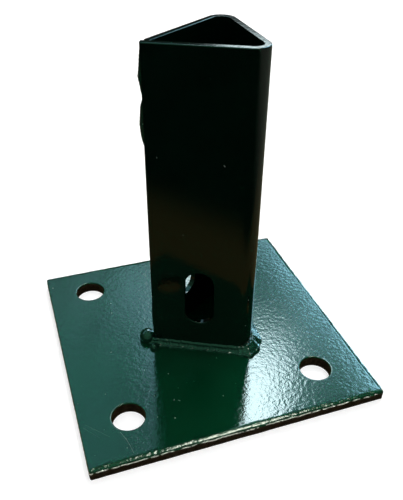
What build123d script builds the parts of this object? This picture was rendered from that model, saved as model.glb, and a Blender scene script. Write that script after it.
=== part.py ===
"""Surface-mount post base of welded steel.

A sheared and punched base plate carries an upright sleeve that is folded from one sheet
to a triangular section. The sleeve's two sheet edges meet in an open seam at one corner,
which short weld beads close in places, and a fillet weld runs round the sleeve's foot.

Frame: millimetres, +Z up, origin in the middle of the plate's underside. +X runs along
the plate's front edge, +Y from the front edge to the back.
"""
import math
import os

from build123d import *

# Base plate
plate_width = 120.0  # along X
plate_depth = 116.0  # along Y
plate_thickness = 5.0
plate_corner_radius = 1.6  # upright corners, knocked off after shearing
shear_rollover = 0.7  # rounding that the shear draws down along the upper edges
shear_land = 2.3  # smooth upright part of the sheared edge, from the upper face down
fracture_lean = 0.1  # how far the torn part below it leans in on its way down
burr_break = 0.2  # bevel that breaks the burr along the lower edges

# Anchor holes, punched from above, with each row set out from the edge beside it
anchor_hole_diameter = 13.0
anchor_edge_left = 19.0
anchor_edge_right = 21.0
anchor_edge_front = 20.0
anchor_edge_back = 16.0
punch_rollover = 0.4  # bevel where the punch drew each hole's upper rim down

# Sleeve, folded from one sheet to an isosceles triangle
sleeve_front_width = 47.0  # front wall, measured to the sharp outer corners
sleeve_section_depth = 45.0  # front wall to the opposite sharp outer corner
sleeve_height = 130.0  # above the plate's upper face
sheet_thickness = 2.5
bend_inner_radius = 3.2
sleeve_side_x = 19.5  # outer face of the right wall, which is parallel to the plate's sides
sleeve_seam_y = -1.0  # place of the sharp seam corner along Y
seam_gap = 0.15  # between the left wall's edge and the front wall it closes on
rim_break = 0.8  # rounding of the upper rim, under its coat

# Slots, one through the front wall and one through the left wall
slot_width = 12.0
slot_length = 26.0
slot_centre_height = 27.0  # above the plate's upper face
front_slot_from_seam = 21.3  # along the front wall, from the sharp seam corner
left_slot_from_seam = 23.0  # along the left wall, from the sharp seam corner
slot_rollover = 0.3  # bevel where the punch drew each slot's outer rim in

# Fillet weld round the sleeve's foot
foot_weld_rise = 3.2  # leg up the walls
foot_weld_front_leg = 2.6  # leg out over the plate along each wall
foot_weld_right_leg = 5.0
foot_weld_left_leg = 3.4
foot_weld_corner_radius = 2.2  # least rounding of the weld's corners in plan
foot_weld_crown = 0.45  # share by which the bead's face bulges over a straight bevel
foot_weld_layers = 4  # facets up the bead's face
foot_weld_top_radius = 0.5  # rounding of the seam corner at the bead's upper toe
start_lump_radius = 3.5  # lump where the weld starts and ends, beside the seam corner
start_lump_height = 1.5  # its centre above the plate's upper face
start_lump_outset = 2.4  # its centre out from the left wall's outer face
start_lump_along = 0.8  # its centre along the left wall, from the sharp seam corner

# Stitch beads that close the seam. The two upper ones hang from the rim, the low one
# stands off the plate, each measured to its middle. Sizes are length and radius.
seam_bead_top_below_rim = 10.5
seam_bead_upper_below_rim = 28.0
seam_bead_low_above_plate = 15.5
seam_bead_top_size = (16.0, 1.8)
seam_bead_upper_size = (18.0, 2.3)
seam_bead_low_size = (16.0, 1.5)
seam_bead_along_front = 1.6  # bead axis from the sharp seam corner, along the front wall
seam_bead_setback = 0.15  # each bead stays this far behind the front wall's outer face
seam_bead_steps = 8  # facets along each bead
seam_bead_sides = 12  # facets round each bead
seam_bead_tip_radius = 0.4

edge_tolerance = 1e-3
base_angle = math.degrees(math.atan2(sleeve_section_depth, sleeve_front_width / 2))
bend_outer_radius = bend_inner_radius + sheet_thickness
# The section is turned until its right wall runs along Y.
sleeve_turn = base_angle - 90.0


def sleeve_place():
    """Location that carries the section's own frame to its place on the plate.

    In the section's frame the sharp seam corner is the origin, the front wall's outer
    face runs along +X and the inside of the sleeve lies towards +Y.
    """
    turn = math.radians(sleeve_turn)
    seam_x = sleeve_side_x - sleeve_front_width * math.cos(turn)
    return Location((seam_x, sleeve_seam_y, plate_thickness), (0, 0, sleeve_turn))


def along(angle, distance, start=(0.0, 0.0)):
    """Point at a distance from a start in a direction given in degrees."""
    turn = math.radians(angle)
    return (start[0] + distance * math.cos(turn), start[1] + distance * math.sin(turn))


def inset_triangle(front, right, left):
    """Corners of the section's triangle with each side moved inwards by its own distance.

    A negative distance moves that side outwards. The order is seam corner, right corner,
    back corner.
    """
    slope = math.tan(math.radians(base_angle))
    normal = math.hypot(1.0, slope)
    left_start = left * normal / slope  # where the moved left side meets the front line
    right_start = sleeve_front_width - right * normal / slope
    seam = (left_start + front / slope, front)
    corner = (right_start - front / slope, front)
    back_x = (left_start + right_start) / 2
    back = (back_x, (back_x - left_start) * slope)
    return seam, corner, back


def rounded_outline(corners, radii):
    """Face of a triangle whose corners are rounded by their own radii, 0 for a sharp one."""
    outline = Polygon(*corners, align=None)
    for corner, radius in zip(corners, radii):
        if radius > 0:
            nearest = outline.vertices().sort_by_distance((corner[0], corner[1], 0))[0]
            outline = fillet(nearest, radius)
    return outline


def sleeve_outline():
    """Outer outline of the closed section, with a sharp seam corner."""
    return rounded_outline(inset_triangle(0, 0, 0), (0, bend_outer_radius, bend_outer_radius))


def folded_section():
    """Section of the folded sheet: front wall, bend, right wall, bend, left wall.

    The front wall ends square where the left wall's outer face crosses its inner face.
    The left wall's square end stops short of the front wall by the seam gap, which
    leaves a groove for the weld on the outside.
    """
    inner = inset_triangle(sheet_thickness, sheet_thickness, sheet_thickness)
    closed = sleeve_outline() - rounded_outline(inner, (0, bend_inner_radius, bend_inner_radius))
    turn = math.radians(base_angle)
    front_end = sheet_thickness / math.tan(turn)
    left_end = (sheet_thickness * (1 + math.cos(turn)) + seam_gap) / math.sin(turn)
    reach = 2 * sheet_thickness
    beyond_front_end = Pos(front_end - reach / 2, 0) * Rectangle(reach, 2 * sheet_thickness)
    before_left_end = Rot(0, 0, base_angle) * (
        Pos(left_end - reach, 0) * Rectangle(2 * reach, 4 * sheet_thickness)
    )
    behind_front_wall = Pos(0, sheet_thickness + 2 * reach) * Rectangle(8 * reach, 4 * reach)
    return closed - beyond_front_end - (before_left_end & behind_front_wall)


def slot_cutter(from_seam, wall_angle):
    """Upright slot that passes through one wall, at right angles to it."""
    depth = 4 * sheet_thickness
    foot = along(wall_angle, from_seam)
    outline = Pos(foot[0], foot[1], slot_centre_height) * Rot(0, 0, wall_angle) * Rot(90, 0, 0)
    profile = Rot(0, 0, 90) * SlotOverall(slot_length, slot_width)
    return extrude(outline * profile, depth / 2, both=True)


def slot_outer_rim(sleeve, from_seam, wall_angle):
    """Edges of one slot that lie on its wall's outer face."""
    middle = Vector(*along(wall_angle, from_seam), slot_centre_height)
    run = Vector(*along(wall_angle, 1.0))
    normal = Vector(*along(wall_angle + 90, 1.0))

    def on_rim(edge):
        offset = edge.center() - middle
        beside = abs(offset.dot(run)) < slot_width / 2 + edge_tolerance
        level = abs(offset.Z) < slot_length / 2 + edge_tolerance
        return beside and level and abs(offset.dot(normal)) < edge_tolerance

    return [edge for edge in sleeve.edges() if on_rim(edge)]


def plate_outline(inset, height):
    """The plate's outline at a height, set in from the sheared edges."""
    radius = max(plate_corner_radius - inset, edge_tolerance)
    width = plate_width - 2 * inset
    return Pos(0, 0, height) * RectangleRounded(width, plate_depth - 2 * inset, radius)


def sheared_blank():
    """Plate blank: an upright sheared land over a torn zone that leans in to the underside."""
    land_foot = plate_thickness - shear_land
    torn_zone = loft(
        [
            plate_outline(fracture_lean + burr_break, 0),
            plate_outline(fracture_lean, burr_break),
            plate_outline(0, land_foot),
        ],
        ruled=True,
    )
    return torn_zone + extrude(plate_outline(0, land_foot), shear_land)


def base_plate():
    """Sheared plate with punched anchor holes."""
    plate = sheared_blank()
    middle = Pos((anchor_edge_left - anchor_edge_right) / 2, (anchor_edge_front - anchor_edge_back) / 2)
    spacing_x = plate_width - anchor_edge_left - anchor_edge_right
    spacing_y = plate_depth - anchor_edge_front - anchor_edge_back
    for place in GridLocations(spacing_x, spacing_y, 2, 2):
        plate -= middle * place * Cylinder(anchor_hole_diameter / 2, 2 * plate_thickness)
    upper = plate.faces().sort_by(Axis.Z)[-1]
    plate = fillet(upper.outer_wire().edges(), shear_rollover)
    upper = plate.faces().sort_by(Axis.Z)[-1]
    hole_rims = [edge for wire in upper.inner_wires() for edge in wire.edges()]
    return chamfer(hole_rims, punch_rollover)


def post_sleeve():
    """Folded sleeve in the section's own frame, its foot at height 0."""
    sleeve = extrude(folded_section(), sleeve_height)
    for from_seam, wall_angle in ((front_slot_from_seam, 0), (left_slot_from_seam, base_angle)):
        sleeve -= slot_cutter(from_seam, wall_angle)
        sleeve = chamfer(slot_outer_rim(sleeve, from_seam, wall_angle), slot_rollover)
    rim = sleeve.faces().sort_by(Axis.Z)[-1]
    return fillet(rim.edges(), rim_break)


def weld_layer(share):
    """Outline of the foot weld at a share of its rise, from 0 at the plate to 1 at its top."""
    out = (1 - share) * (1 + foot_weld_crown * share)
    corners = inset_triangle(
        -foot_weld_front_leg * out, -foot_weld_right_leg * out, -foot_weld_left_leg * out
    )
    seam_radius = foot_weld_corner_radius * out + foot_weld_top_radius * (1 - out)
    bend_radius = bend_outer_radius + foot_weld_corner_radius * out
    return Pos(0, 0, foot_weld_rise * share) * rounded_outline(
        corners, (seam_radius, bend_radius, bend_radius)
    )


def foot_weld(sleeve_block):
    """Fillet weld round the foot with its starting lump, clear of the sleeve's outline."""
    layers = [weld_layer(i / foot_weld_layers) for i in range(foot_weld_layers + 1)]
    ring = loft(layers, ruled=True)
    lump_foot = along(base_angle, start_lump_along)
    lump_centre = along(base_angle + 90, start_lump_outset, lump_foot)
    lump = Pos(*lump_centre, start_lump_height) * Sphere(start_lump_radius)
    above_plate = Pos(0, 0, 2 * sleeve_front_width) * Box(*[4 * sleeve_front_width] * 3)
    return ring + (lump & above_plate) - sleeve_block


def seam_bead(middle_height, length, radius, sleeve):
    """Faceted weld bead over the seam with the profile of a half ellipse, clear of the sheet."""
    layers = []
    for step in range(seam_bead_steps + 1):
        turn = math.pi * step / seam_bead_steps
        reach = max(radius * math.sin(turn), seam_bead_tip_radius)
        layers.append(
            Pos(0, 0, -length / 2 * math.cos(turn)) * RegularPolygon(reach, seam_bead_sides)
        )
    inset = radius + seam_bead_setback
    return Pos(seam_bead_along_front, inset, middle_height) * loft(layers, ruled=True) - sleeve


def build():
    """Every piece of the post base, by name, in its place on the plate."""
    sleeve = post_sleeve()
    sleeve_block = extrude(sleeve_outline(), sleeve_height)
    top_middle = sleeve_height - seam_bead_top_below_rim
    upper_middle = sleeve_height - seam_bead_upper_below_rim
    pieces = {
        "post_sleeve": sleeve,
        "foot_weld": foot_weld(sleeve_block),
        "seam_weld_top": seam_bead(top_middle, *seam_bead_top_size, sleeve),
        "seam_weld_upper": seam_bead(upper_middle, *seam_bead_upper_size, sleeve),
        "seam_weld_low": seam_bead(seam_bead_low_above_plate, *seam_bead_low_size, sleeve),
    }
    placed = {name: sleeve_place() * piece for name, piece in pieces.items()}
    return {"base_plate": base_plate(), **placed}


if __name__ == "__main__":
    os.makedirs("parts", exist_ok=True)
    for name, piece in build().items():
        export_step(piece, f"parts/{name}.step")
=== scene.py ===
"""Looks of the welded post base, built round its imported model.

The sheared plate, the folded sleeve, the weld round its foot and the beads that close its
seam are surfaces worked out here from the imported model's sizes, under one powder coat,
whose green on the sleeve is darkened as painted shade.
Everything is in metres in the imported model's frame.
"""

import math

import bpy
import numpy as np
from mathutils import Matrix, Vector


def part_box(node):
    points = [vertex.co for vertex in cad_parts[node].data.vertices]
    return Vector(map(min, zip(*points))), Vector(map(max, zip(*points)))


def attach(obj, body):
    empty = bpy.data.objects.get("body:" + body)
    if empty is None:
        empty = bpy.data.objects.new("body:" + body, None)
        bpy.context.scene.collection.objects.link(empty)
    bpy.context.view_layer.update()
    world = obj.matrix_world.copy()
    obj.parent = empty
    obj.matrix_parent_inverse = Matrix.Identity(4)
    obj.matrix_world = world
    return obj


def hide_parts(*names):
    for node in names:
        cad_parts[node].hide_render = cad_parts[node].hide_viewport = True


bl_info = {
    "name": "Welded post base",
    "version": (1, 0, 0),
    "blender": (4, 5, 0),
    "location": "3D View > Sidebar > Post base",
    "description": "Coats the post base's steel and builds its welds and its studio",
    "category": "Object",
}

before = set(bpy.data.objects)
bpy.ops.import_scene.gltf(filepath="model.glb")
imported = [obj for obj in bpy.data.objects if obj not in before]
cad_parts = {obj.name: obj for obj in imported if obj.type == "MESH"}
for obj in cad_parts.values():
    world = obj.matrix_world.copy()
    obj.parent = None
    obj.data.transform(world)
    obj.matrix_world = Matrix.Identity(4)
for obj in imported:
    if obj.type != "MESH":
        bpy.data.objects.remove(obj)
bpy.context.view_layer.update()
BODY = "root"

MM = 0.001
PLATE_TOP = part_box("base_plate")[1].z
PLATE_HALF_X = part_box("base_plate")[1].x
PLATE_HALF_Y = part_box("base_plate")[1].y
SLEEVE_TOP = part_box("post_sleeve")[1].z
SIDE_FACE_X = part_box("post_sleeve")[1].x

# The sleeve's section: an isosceles triangle with its right side along Y.
FRONT_WIDTH = 47.0 * MM
SECTION_DEPTH = 45.0 * MM
BEND_RADIUS = 5.7 * MM
SHEET = 2.5 * MM
SEAM_Y = -1.0 * MM
BASE_ANGLE = math.atan2(SECTION_DEPTH, FRONT_WIDTH / 2)
TURN = BASE_ANGLE - math.pi / 2
SIDE_LENGTH = math.hypot(SECTION_DEPTH, FRONT_WIDTH / 2)
FRONT_RUN = np.array([math.cos(TURN), math.sin(TURN)])
INWARD = np.array([-math.sin(TURN), math.cos(TURN)])
SEAM_CORNER = np.array([SIDE_FACE_X - FRONT_WIDTH * math.cos(TURN), SEAM_Y])

# In the section, along the left wall from the seam corner and straight out of it
LEFT_RUN = np.array([math.cos(BASE_ANGLE), math.sin(BASE_ANGLE)])
LEFT_OUT = np.array([-LEFT_RUN[1], LEFT_RUN[0]])

# The sheet's two ends, along the front and the left wall from the sharp seam corner
SEAM_GAP = 0.15 * MM
FRONT_CUT = SHEET / math.tan(BASE_ANGLE)
LEFT_CUT = (SHEET * (1 + math.cos(BASE_ANGLE)) + SEAM_GAP) / math.sin(BASE_ANGLE)

# Slots: places along their walls from the seam's sharp corner, half their straight sides, the
# rounding of their rims, and the half width and height of the finely divided sheet there
FRONT_SLOT = 21.3 * MM
LEFT_SLOT = 23.0 * MM
SLOT_HEIGHT = 27.0 * MM
SLOT_RADIUS = 6.0 * MM
SLOT_HALF = 7.0 * MM
SLOT_ROUND = 0.3 * MM
SLOT_ASIDE, SLOT_ABOVE = 8.5 * MM, 17.0 * MM

# Edges of the plate, as the shear and the punch leave them. A row of SHEARED has one number,
# in millimetres, for the right, left, back and front side: how deep and how wide the upper
# face is drawn down, the round that ends it, how far the outline stands back, how far the
# torn lip stands out of it and the height of the smooth land. The last table is how bare the
# upper face is beside each side, as a share, over a narrow ring at the edge; its near-white
# bare steel is wear and also painted highlight along the edge.
CORNER_RADIUS = 0.9 * MM
EDGE_BAND = 3.2 * MM
EDGE_ROUND = 0.5 * MM
PUNCH_ROUND = 0.4 * MM
DRAWN_SOFT = 0.15 * MM
# Width of the bright rubbed ring at the edge: worn steel that is also painted highlight
RUBBED_HIGHLIGHT_WIDTH = 0.36 * MM
FLARE, FLARE_WIDTH = 0.04 * MM, 1.5 * MM
SHEARED = {
    "draw": (0.62, 0.14, 0.1, 0.6),
    "wide": (1.9, 1.6, 1.6, 2.4),
    "round": (0.15, 0.3, 0.2, 0.22),
    "inset": (0.02, 0.1, 0.05, 0.3),
    "lip": (0.02, 0.08, 0.05, 0.3),
    "land": (0.9, 1.3, 1.3, 0.06),
}
WORN_AND_HIGHLIGHT = (1.0, 0.15, 0.3, 0.0)

# Points of a panel closer than GRAIN are one, and FAR stands for no cut nearby
GRAIN = 1e-7
FAR = 1.0

# Anchor holes: two rows of two, and their middle
HOLE_RADIUS = 6.5 * MM
HOLE_HALF_PITCH = 40.0 * MM
HOLE_MIDDLE = (-1.0 * MM, 2.0 * MM)

# Foot weld: millimetres round the sleeve from its seam corner, and there how far the bead
# reaches over the plate, how high it climbs, and how much its face swells as a share
WELD_LEG = [(0.0, 1.9), (2.5, 2.6), (10.0, 2.3), (21.2, 1.85), (30.0, 2.0), (36.8, 2.4)]
WELD_LEG += [(39.0, 3.2), (40.0, 5.3), (40.8, 5.5), (42.2, 4.4), (43.8, 5.4), (45.1, 3.9)]
WELD_LEG += [(46.7, 4.7), (48.5, 5.1), (54.5, 5.4), (59.7, 5.8), (66.0, 5.0), (74.0, 4.4)]
WELD_LEG += [(85.0, 4.6), (93.0, 3.6), (112.0, 3.3), (126.0, 3.2), (130.5, 2.2)]
WELD_RISE = [(0.0, 2.3), (1.9, 2.5), (10.0, 2.74), (21.0, 2.6), (31.9, 2.84), (37.4, 3.0)]
WELD_RISE += [(43.0, 3.5), (60.0, 3.7), (90.0, 3.5), (112.0, 3.1), (127.0, 3.0)]
WELD_CROWN = [(0.0, 0.0), (4.0, -0.1), (20.0, -0.16), (34.0, -0.1), (39.0, 0.15)]
WELD_CROWN += [(44.0, 0.25), (60.0, 0.15), (90.0, 0.1), (120.0, 0.05)]
SEAM_CORNER_ROUND = 0.5 * MM
TOE_REACH = 3.0 * MM

# Round blobs on it: place along the wall, height and radius, and the width of their join
START_LUMP = (0.8 * MM, 1.5 * MM, 3.5 * MM)
DROP = (2.2 * MM, 0.5 * MM, 1.9 * MM)
BLOB_BLEND = 0.25 * MM

# Stitch beads on the seam: heights over the plate with how far the bead stands out there, in
# millimetres, and how many ripples it has
TOP_BEAD = [(111.7, 0.3), (112.5, 0.55), (113.8, 0.7), (115.8, 0.95), (117.2, 1.3)]
TOP_BEAD += [(118.5, 1.65), (119.8, 1.4), (121.2, 1.15), (122.5, 0.95), (124.4, 0.75)]
TOP_BEAD += [(126.4, 0.5), (128.4, 0.25), (129.4, 0.05)]
UPPER_BEAD = [(92.4, 0.1), (94.1, 0.5), (95.7, 1.0), (97.2, 1.35), (98.7, 1.55)]
UPPER_BEAD += [(100.2, 1.7), (101.7, 1.82), (102.4, 1.78), (103.9, 1.6), (105.3, 1.45)]
UPPER_BEAD += [(107.0, 1.3), (108.2, 1.2), (109.6, 0.85), (110.6, 0.5), (111.5, 0.3)]
LOW_BEAD = [(7.5, 0.05), (10.0, 0.35), (14.0, 0.5), (18.0, 0.45), (22.0, 0.3), (24.0, 0.05)]
SEAM_BEADS = {"top": (TOP_BEAD, 13), "upper": (UPPER_BEAD, 15), "low": (LOW_BEAD, 12)}

# A bead's lap over the left wall, its sink in the front wall's end, how far it dips under the
# steel and the height of its ripples
BEAD_LAP = 4.0 * MM
BEAD_SINK = 0.12 * MM
BEAD_DIP = 0.6 * MM
BEAD_RIPPLE = 0.05 * MM

# Scratches on the plate's upper face, in millimetres: start, end and half width, and how
# strong each is as a share
SCRATCHES = [
    ((-45.7, -44.2), (-44.6, -47.0), 0.07, 0.28),
    ((-44.6, -47.0), (-43.6, -50.8), 0.07, 0.3),
    ((-43.6, -50.8), (-43.0, -54.9), 0.07, 0.25),
    ((-57.5, -36.8), (-49.7, -45.2), 0.05, 0.1),
    ((-58.5, -38.0), (-53.3, -44.5), 0.05, 0.08),
    ((-20.5, -36.4), (-19.9, -36.9), 0.12, 0.35),
]

# Panes of the room in degrees: azimuth from, to and softness, then elevation the same way
WINDOW = ((18.2, 31.5, 0.5), (44.5, 60, 0.8))
SILL = ((21, 34, 0.5), (18.8, 22, 0.2))
RIGHT_WALL = ((20, 62, 2.5), (31, 62, 1))
LOW_BAND = ((46, 62, 1.5), (-3, 12, 1))
LEFT_WALL = ((-70, 14.5, 2.0), (34, 70, 1))

# Directions of the lamp overhead and of the glow on the camera's side
LAMP = np.array([0.25, -0.05, 0.97])
CAMERA_SIDE = np.array([-0.2, -0.54, 0.82])

# Colours of the room's light, and what the left wall's gains towards its foot
WHITE, SKY = np.array([0.82, 1.0, 1.03]), np.array([0.5, 1.0, 1.24])
WARM, GREEN = np.array([0.95, 1.0, 0.85]), np.array([0.3, 1.0, 0.6])
TEAL, TEAL_LOW = np.array([0.34, 1.0, 1.1]), np.array([0.17, 0.0, 0.1])

# Squares of the stage, half width and height, and where the cloth turns brown and paler
FLOOR_SQUARE = (12.0, -0.1 * MM)
CLOTH_SQUARE = (3.0, 0.4 * MM)
CLOTH_BROWN_Y = (-0.125, -0.085)
CLOTH_PALER_X = (0.04, 0.3)


# Surfaces


def to_plate(points):
    """Section points (along the front wall, inwards, height over the plate) in the frame.

    Each is the seam corner plus its first number times the front wall's direction plus its
    second times the inward one, with the plate's thickness added to its height.
    """
    flat = SEAM_CORNER + points[..., :1] * FRONT_RUN + points[..., 1:2] * INWARD
    return np.concatenate([flat, points[..., 2:] + PLATE_TOP], -1)


def rounded_triangle(seam_radius, spacing, toe):
    """Points, outward normals and arc lengths round the sleeve's outline, from the seam.

    The outline is three straight runs joined by arcs that touch them. Runs have even
    steps, and arcs have steps that are even on a circle larger by the toe's distance.
    """
    corners = np.array([[0, 0], [FRONT_WIDTH, 0], [FRONT_WIDTH / 2, SECTION_DEPTH]])
    radii = [seam_radius, BEND_RADIUS, BEND_RADIUS]
    half_angles = [BASE_ANGLE / 2, BASE_ANGLE / 2, math.pi / 2 - BASE_ANGLE]
    headings = [0.0, math.pi - BASE_ANGLE, math.pi + BASE_ANGLE]
    places, normals = [], []
    for side in range(3):
        heading, after = headings[side], (side + 1) % 3
        run = np.array([math.cos(heading), math.sin(heading)])
        out = np.array([run[1], -run[0]])
        start = corners[side] + run * radii[side] / math.tan(half_angles[side])
        stop = corners[after] - run * radii[after] / math.tan(half_angles[after])
        count = max(2, round(np.linalg.norm(stop - start) / spacing))
        share = np.arange(count)[:, None] / count
        places.append(start + share * (stop - start))
        normals.append(np.repeat(out[None], count, 0))
        sweep = math.pi - 2 * half_angles[after]
        count = max(6, round((radii[after] + toe) * sweep / spacing))
        turn = heading - math.pi / 2 + sweep * np.arange(count) / count
        fan = np.stack([np.cos(turn), np.sin(turn)], -1)
        places.append(stop - radii[after] * out + radii[after] * fan)
        normals.append(fan)
    places, normals = np.concatenate(places), np.concatenate(normals)
    steps = np.linalg.norm(np.diff(places, axis=0, append=places[:1]), axis=1)
    return places, normals, np.concatenate([[0.0], np.cumsum(steps)[:-1]]), steps.sum()


def round_the_path(stations, arc, total, blur):
    """Values at arc lengths, from stations (arc length, value) joined in a closed loop.

    Straight joins between stations, then a running mean over the blur's length.
    """
    at, value = np.array(stations).T
    offsets = np.linspace(-blur / 2, blur / 2, 9)
    return np.mean([np.interp(arc + o, at, value, period=total) for o in offsets], 0)


def waves(arc, total, turns, sizes, phases):
    """Sum of sines that close on themselves: each size times a sine of its whole turns."""
    angle = 2 * math.pi * arc[:, None] / total * np.array(turns) + np.array(phases)
    return np.sin(angle) @ np.array(sizes)


def blob_reach(places, normals, slope, centre, height, radius):
    """Distance from the weld's root to the far side of a round blob, 0 where it misses.

    In the upright plane through each path point the blob is a circle, and the reach at a
    slope angle is the far crossing of the ray with it: d + sqrt(r2 - a2 - b2 + d2).
    """
    tangents = np.stack([-normals[:, 1], normals[:, 0]], -1)
    ahead = ((centre - places) * normals).sum(-1)[:, None]
    aside = ((centre - places) * tangents).sum(-1)[:, None]
    facing = ahead * np.cos(slope) + height * np.sin(slope)
    inside = radius**2 - aside**2 - ahead**2 - height**2 + facing**2
    reach = facing + np.sqrt(np.clip(inside, 0, None))
    return np.where(inside > 0, reach, 0.0)


def soft_larger(first, second, blend):
    """The larger of two arrays, with a round join: (a + b + sqrt((a - b)^2 + k^2)) / 2."""
    return (first + second + np.sqrt((first - second) ** 2 + blend**2)) / 2


def foot_weld_surface(welds):
    """Fillet weld round the sleeve's foot as rings of profile points along its outline.

    At each point of the outline the profile is a polar curve about the root where wall and
    plate meet: the straight bevel 1 / (cos / leg + sin / rise), swollen or hollowed by a
    crown, with rolled toes, ripples that trail like chevrons, and round blobs joined to
    it where the bead starts and ends. The last profile point closes the ring inside.
    """
    places, normals, arc, total = rounded_triangle(SEAM_CORNER_ROUND, welds.step, TOE_REACH)
    slope = np.radians(np.linspace(-4, 94, 34))[None, :]
    leg, rise, crown = (
        round_the_path(stations, arc / MM, total / MM, blur)
        for stations, blur in ((WELD_LEG, 0.9), (WELD_RISE, 1.5), (WELD_CROWN, 3.0))
    )
    leg = leg + waves(arc, total, [17, 31, 57], [0.12, 0.1, 0.07], [0.4, 2.1, 5.0])
    rise = rise + waves(arc, total, [19, 37, 71], [0.08, 0.07, 0.05], [1.3, 4.0, 0.7])
    bevel = 1 / (np.cos(slope) / leg[:, None] + np.sin(slope) / rise[:, None])
    middle = np.sin(np.clip(2 * slope, 0, math.pi))
    toes = np.exp(-(((slope - 0.22) / 0.14) ** 2)) + np.exp(-(((slope - 1.33) / 0.16) ** 2))
    chevron = 2 * math.pi * (arc[:, None] / total * 97 + 0.9 * (slope - 0.8) ** 2)
    reach = bevel * (1 + crown[:, None] * middle + 0.15 * toes)
    reach = reach + welds.ripple / MM * np.cos(chevron) * (0.35 + 0.65 * middle)
    reach = reach * MM
    lump = START_LUMP[0] * LEFT_RUN + welds.start_lump * LEFT_OUT
    drop = np.array([DROP[0], -welds.drop_place])
    for centre, (_, height, radius) in ((lump, START_LUMP), (drop, DROP)):
        blob = blob_reach(places, normals, slope, centre, height, radius)
        reach = soft_larger(reach, blob, BLOB_BLEND)
    out, up = reach * np.cos(slope), reach * np.sin(slope)
    out = np.concatenate([out, out[:, -1:]], 1)
    up = np.concatenate([up, up[:, :1]], 1)
    flat = places[:, None] + normals[:, None] * out[..., None]
    return to_plate(np.concatenate([flat, up[..., None]], -1))


def seam_bead_surface(stations, turns):
    """Stitch bead over the seam as level rings from its foot to its top, with end points.

    A ring is the chord from the front wall's cut edge to the left wall's face. Outwards it
    is the chord plus its normal times the bead's height there times a sine, with ripples;
    inwards it dips under the steel by a sine. Rings shrink to a point at both ends.
    """
    heights, stands = np.array(stations).T * MM
    rows = np.linspace(heights[0], heights[-1], 120)
    stand = np.interp(rows, heights, stands)
    stand = np.convolve(np.pad(stand, 3, mode="edge"), np.ones(7) / 7, mode="valid")
    share = (rows - rows[0]) / (rows[-1] - rows[0])
    taper = np.sqrt(np.clip(1 - (2 * share - 1) ** 6, 0, 1))[:, None]
    first = np.array([FRONT_CUT, BEAD_SINK])
    second = LEFT_RUN * BEAD_LAP
    middle, half = (first + second) / 2, (second - first) / 2
    normal = np.array([-half[1], half[0]]) / np.linalg.norm(half)
    turn = 2 * math.pi * (np.arange(44) + 0.5)[None, :] / 44
    across, outwards = np.cos(turn), np.sin(turn)
    ripple = np.cos(2 * math.pi * (turns * share[:, None] - 0.35 * across**2))
    bulge = (stand[:, None] + BEAD_RIPPLE * ripple) * np.sqrt(np.clip(outwards, 0, 1))
    dip = BEAD_DIP * np.clip(-outwards, 0, 1)
    height_off = np.where(outwards > 0, bulge, -dip) * taper
    flat = middle + (across * taper)[..., None] * half + height_off[..., None] * normal
    level = np.broadcast_to(rows[:, None, None], (*height_off.shape, 1))
    return to_plate(np.concatenate([flat, level], -1))


def grid_patch(across, up):
    """Patch of a panel from two rows of coordinates, with its quads."""
    points = np.stack(np.meshgrid(across, up), -1).reshape(-1, 2)
    return points, np.full(len(points), FAR), grid_quads(len(up), len(across), False)


def grid_quads(rows, columns, closed):
    """Quads between the rows of a grid, whose columns may close on themselves."""
    here = np.arange(rows * columns).reshape(rows, columns)
    if closed:
        here = np.concatenate([here, here[:, :1]], 1)
    corners = [here[:-1, :-1], here[:-1, 1:], here[1:, 1:], here[1:, :-1]]
    return np.stack(corners, -1).reshape(-1, 4)


def rectangle_loop(across, up):
    """Points once round a rectangle's sides, anticlockwise from its low corner."""
    low, high = np.full(len(across), up[0]), np.full(len(across), up[-1])
    left, right = np.full(len(up), across[0]), np.full(len(up), across[-1])
    sides = [(across, low), (right, up), (across[::-1], high), (left, up[::-1])]
    return np.concatenate([np.stack(side, -1)[:-1] for side in sides])


def pierced_patch(across, up, centre, half, radius, rims, steps):
    """Patch of a panel with a rounded slot in it, as rings from the slot to its sides.

    A ring meets the ray to each point of the rectangle's loop where the slot's outline,
    widened by the ring's distance, crosses it: at the straight side, r / |cos|, or on the
    round end, h |sin| + sqrt(r2 - h2 cos2). Beyond the rim the rings blend to the loop.
    """
    loop = rectangle_loop(across, up)
    ray = loop - centre
    ray = ray / np.linalg.norm(ray, axis=1)[:, None]
    cosine, sine = np.abs(ray).T + 1e-12
    rings = []
    for rim in rims:
        wide = radius + rim
        straight = wide * sine <= half * cosine
        end = half * sine + np.sqrt(np.clip(wide**2 - (half * cosine) ** 2, 0, None))
        rings.append(centre + ray * np.where(straight, wide / cosine, end)[:, None])
    last = rings[-1]
    rings += [last + (loop - last) * share for share in np.linspace(0, 1, steps + 1)[1:]]
    distance = np.concatenate([rims, np.full(steps, FAR)])
    quads = grid_quads(len(rings), len(loop), True)[:, ::-1]
    return np.concatenate(rings), np.repeat(distance, len(loop)), quads


def join_patches(patches):
    """One panel from patches, with the points that fall together made one."""
    offsets = np.cumsum([0] + [len(points) for points, _, _ in patches])
    points = np.concatenate([points for points, _, _ in patches])
    distance = np.concatenate([distance for _, distance, _ in patches])
    quads = np.concatenate([quads + o for (_, _, quads), o in zip(patches, offsets)])
    keys = np.floor(points / GRAIN + 0.37).astype(np.int64)
    _, first, index = np.unique(keys, axis=0, return_index=True, return_inverse=True)
    return points[first], distance[first], index.reshape(-1)[quads], first


def panel_border(quads):
    """Directed edges that only one quad of a panel has."""
    edges = np.concatenate([quads[:, [i, (i + 1) % 4]] for i in range(4)])
    keys = edges.min(1) * (quads.max() + 1) + edges.max(1)
    _, index, counts = np.unique(keys, return_inverse=True, return_counts=True)
    return edges[counts[index.reshape(-1)] == 1]


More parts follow.
